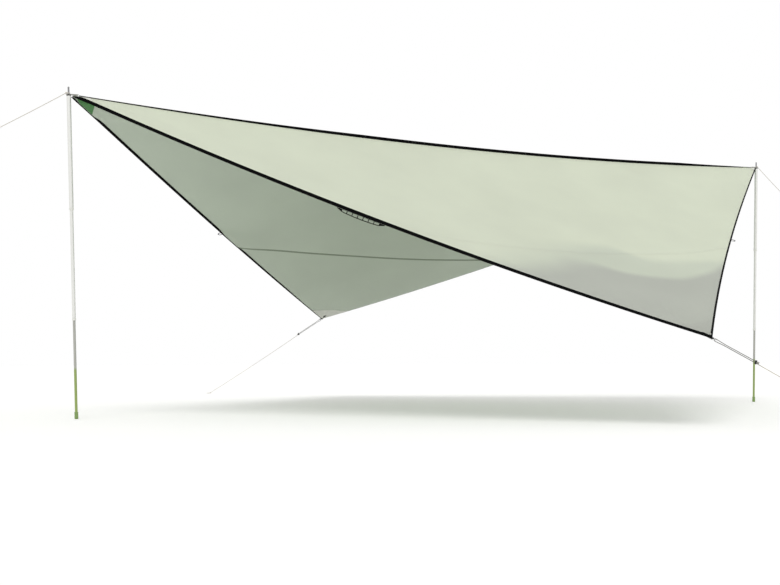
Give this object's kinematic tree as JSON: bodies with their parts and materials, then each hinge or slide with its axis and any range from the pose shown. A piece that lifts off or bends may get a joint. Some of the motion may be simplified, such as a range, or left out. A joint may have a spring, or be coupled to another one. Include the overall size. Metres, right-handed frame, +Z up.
{
  "type": "camping tarp",
  "caption": "Square cloth tarp pitched on its diagonal over telescopic poles, with bound edges, a taped ridge, corner eyelets and rings, tie-out loops, and adjustable guy lines.",
  "frame": {"origin": "on the ground, in the middle of the tarp's box without its free guy lines", "axes": "+X along the ridge from the left pole to the right pole, +Y towards the back low corner, +Z up"},
  "size_m": [6.4256, 7.7915, 1.998],
  "materials": {
    "coated_cloth": "satin coated polyester",
    "black_tape": "matte woven tape",
    "green_patch": "matte coated polyester",
    "black_webbing": "matte woven webbing",
    "pale_webbing": "matte woven webbing",
    "nickel_plate": "plated",
    "steel": "drawn wire",
    "aluminium_tube": "bright drawn tube",
    "dark_nylon": "moulded",
    "pale_nylon": "moulded",
    "green_rubber": "moulded",
    "pale_cord": "braided cord"
  },
  "bodies": {
    "canopy": {"front_upper_cloth": "coated_cloth", "front_lower_cloth": "coated_cloth", "back_upper_cloth": "coated_cloth", "back_lower_cloth": "coated_cloth", "front_corner_patch": "coated_cloth", "back_corner_patch": "coated_cloth", "ridge_tape": "black_tape", "front_left_edge_binding": "black_tape", "front_right_edge_binding": "black_tape", "back_left_edge_binding": "black_tape", "back_right_edge_binding": "black_tape", "front_seam_tape": "black_tape", "back_seam_tape": "black_tape", "left_end_patch": "green_patch", "right_end_patch": "green_patch", "left_eyelet_tab": "pale_webbing", "right_eyelet_tab": "pale_webbing", "front_corner_tab": "black_webbing", "back_corner_tab": "black_webbing", "front_loop_strap": "black_webbing", "back_left_edge_loop": "black_webbing", "back_right_edge_loop": "black_webbing", "front_right_edge_loop": "black_webbing", "left_grommet": "nickel_plate", "right_grommet": "nickel_plate", "front_corner_ring": "steel", "back_corner_ring": "steel", "left_pole_pin": "steel", "right_pole_pin": "steel", "left_upper_tube": "aluminium_tube", "left_pole_cap": "dark_nylon", "left_upper_end_ring": "pale_nylon", "right_upper_tube": "aluminium_tube", "right_pole_cap": "dark_nylon", "right_upper_end_ring": "pale_nylon", "left_guy": "pale_cord", "right_guy": "pale_cord", "front_guy": "pale_cord", "back_guy": "pale_cord", "front_ground_loop": "pale_cord", "back_ground_loop": "pale_cord"},
    "left_middle_sleeve": {"left_middle_lock_sleeve": "pale_nylon"},
    "left_middle_section": {"left_middle_tube": "aluminium_tube", "left_middle_lock_stud": "dark_nylon", "left_middle_end_ring": "pale_nylon"},
    "left_lower_sleeve": {"left_lower_lock_sleeve": "pale_nylon"},
    "left_lower_section": {"left_lower_tube": "aluminium_tube", "left_lower_lock_stud": "dark_nylon", "left_foot": "green_rubber"},
    "right_middle_sleeve": {"right_middle_lock_sleeve": "pale_nylon"},
    "right_middle_section": {"right_middle_tube": "aluminium_tube", "right_middle_lock_stud": "dark_nylon", "right_middle_end_ring": "pale_nylon"},
    "right_lower_sleeve": {"right_lower_lock_sleeve": "pale_nylon"},
    "right_lower_section": {"right_lower_tube": "aluminium_tube", "right_lower_lock_stud": "dark_nylon", "right_foot": "green_rubber"},
    "front_slider": {"front_guy_slider": "dark_nylon"},
    "back_slider": {"back_guy_slider": "dark_nylon"}
  },
  "joints": [
    {"name": "left_middle_slide", "type": "slide", "parent": "canopy", "child": "left_middle_sleeve", "axis": [-0.0395, 0, 0.9992], "range_m": [0, 0.5]},
    {"name": "left_middle_twist", "type": "hinge", "parent": "left_middle_sleeve", "child": "left_middle_section", "pos_m": [-2.80588, -0.06934, 1.37892], "axis": [-0.0395, 0, 0.9992], "range_deg": [0, 360]},
    {"name": "left_lower_slide", "type": "slide", "parent": "left_middle_section", "child": "left_lower_sleeve", "axis": [-0.0395, 0, 0.9992], "range_m": [0, 0.5]},
    {"name": "left_lower_twist", "type": "hinge", "parent": "left_lower_sleeve", "child": "left_lower_section", "pos_m": [-2.77983, -0.06934, 0.71944], "axis": [-0.0395, 0, 0.9992], "range_deg": [0, 360]},
    {"name": "right_middle_slide", "type": "slide", "parent": "canopy", "child": "right_middle_sleeve", "axis": [0.0395, 0, 0.9992], "range_m": [0, 0.5]},
    {"name": "right_middle_twist", "type": "hinge", "parent": "right_middle_sleeve", "child": "right_middle_section", "pos_m": [2.80588, -0.06934, 1.37892], "axis": [0.0395, 0, 0.9992], "range_deg": [0, 360]},
    {"name": "right_lower_slide", "type": "slide", "parent": "right_middle_section", "child": "right_lower_sleeve", "axis": [0.0395, 0, 0.9992], "range_m": [0, 0.5]},
    {"name": "right_lower_twist", "type": "hinge", "parent": "right_lower_sleeve", "child": "right_lower_section", "pos_m": [2.77983, -0.06934, 0.71944], "axis": [0.0395, 0, 0.9992], "range_deg": [0, 360]},
    {"name": "front_slider_slide", "type": "slide", "parent": "canopy", "child": "front_slider", "axis": [0, 0.9239, 0.3827], "range_m": [0, 0.2]},
    {"name": "back_slider_slide", "type": "slide", "parent": "canopy", "child": "back_slider", "axis": [0.2701, -0.8835, 0.3827], "range_m": [0, 0.2]}
  ]
}
